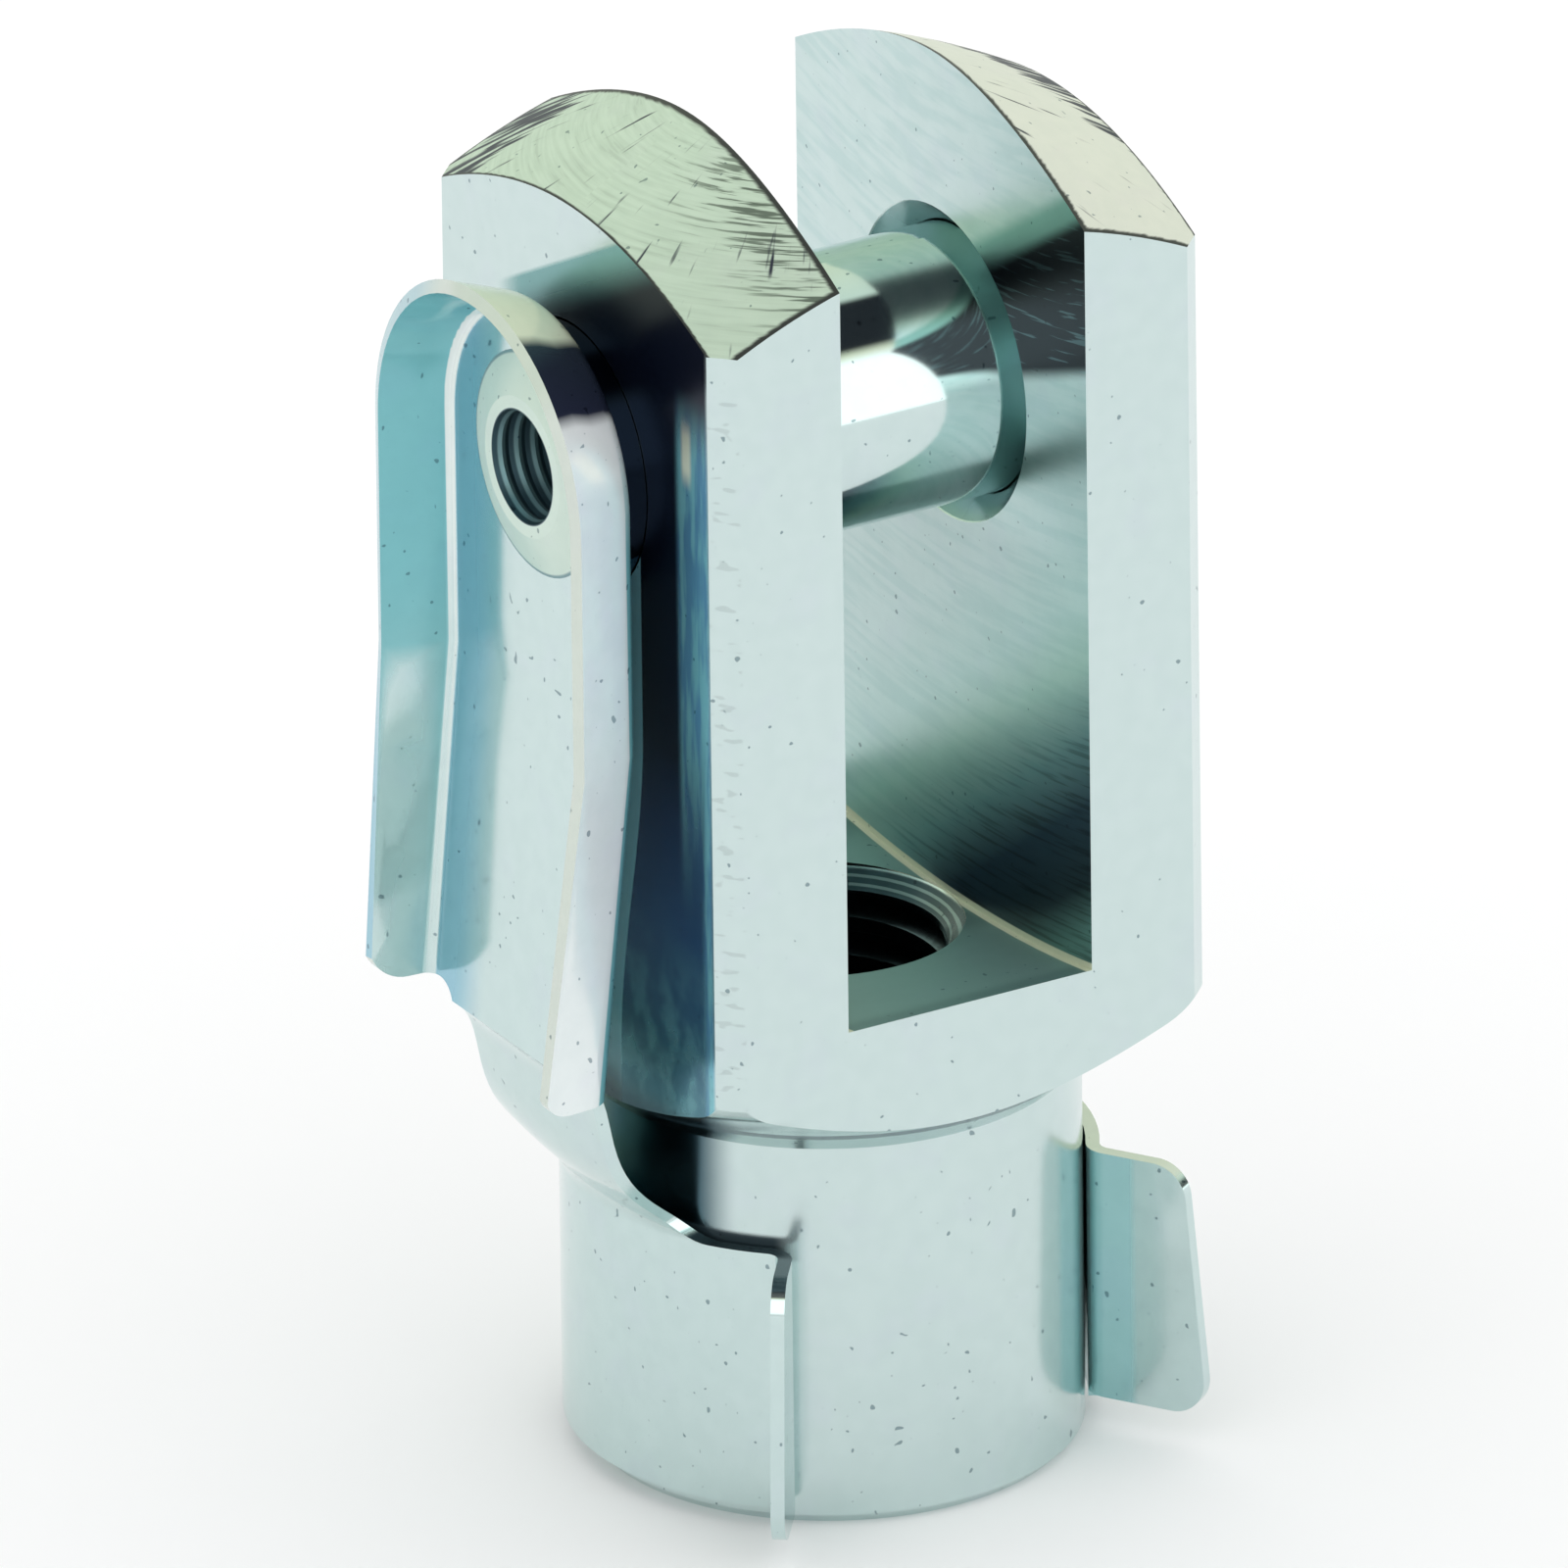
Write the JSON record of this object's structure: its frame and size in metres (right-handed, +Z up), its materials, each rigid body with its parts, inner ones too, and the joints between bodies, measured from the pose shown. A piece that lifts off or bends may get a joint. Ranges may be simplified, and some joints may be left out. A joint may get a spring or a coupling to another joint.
{
  "type": "clevis rod end",
  "caption": "Forked rod end with an internally threaded neck, a cross pin through the fork, and a folded sheet spring clip that is riveted to the pin and grips the neck.",
  "frame": {"origin": "centre of the neck's end face, on the axis of the threaded hole", "axes": "+Z up the threaded hole's axis towards the fork's tips; X along the cross pin, with the spring clip on the -X side; the fork's slot runs through along Y, and the clip's clamp opens towards -Y"},
  "size_m": [0.0261, 0.0204, 0.0518],
  "materials": {
    "fork_steel": "turned and milled steel, zinc plated with a pale blue-green passivation",
    "pin_steel": "smooth turned steel, bright zinc plated",
    "clip_steel": "smooth spring steel sheet, zinc plated with a pale blue-green passivation"
  },
  "bodies": {
    "fork": {"fork": "fork_steel"},
    "pin": {"clevis_pin": "pin_steel"},
    "clip": {"spring_clip": "clip_steel"}
  },
  "joints": [
    {"name": "pin_slide", "type": "slide", "parent": "fork", "child": "pin", "axis": [-1, 0, 0], "range_m": [0, 0.022]},
    {"name": "clip_swing", "type": "hinge", "parent": "pin", "child": "clip", "pos_m": [-0.0114, 0, 0.04], "axis": [1, 0, 0], "range_deg": [0, 315], "deforming": ["spring_clip"]}
  ]
}
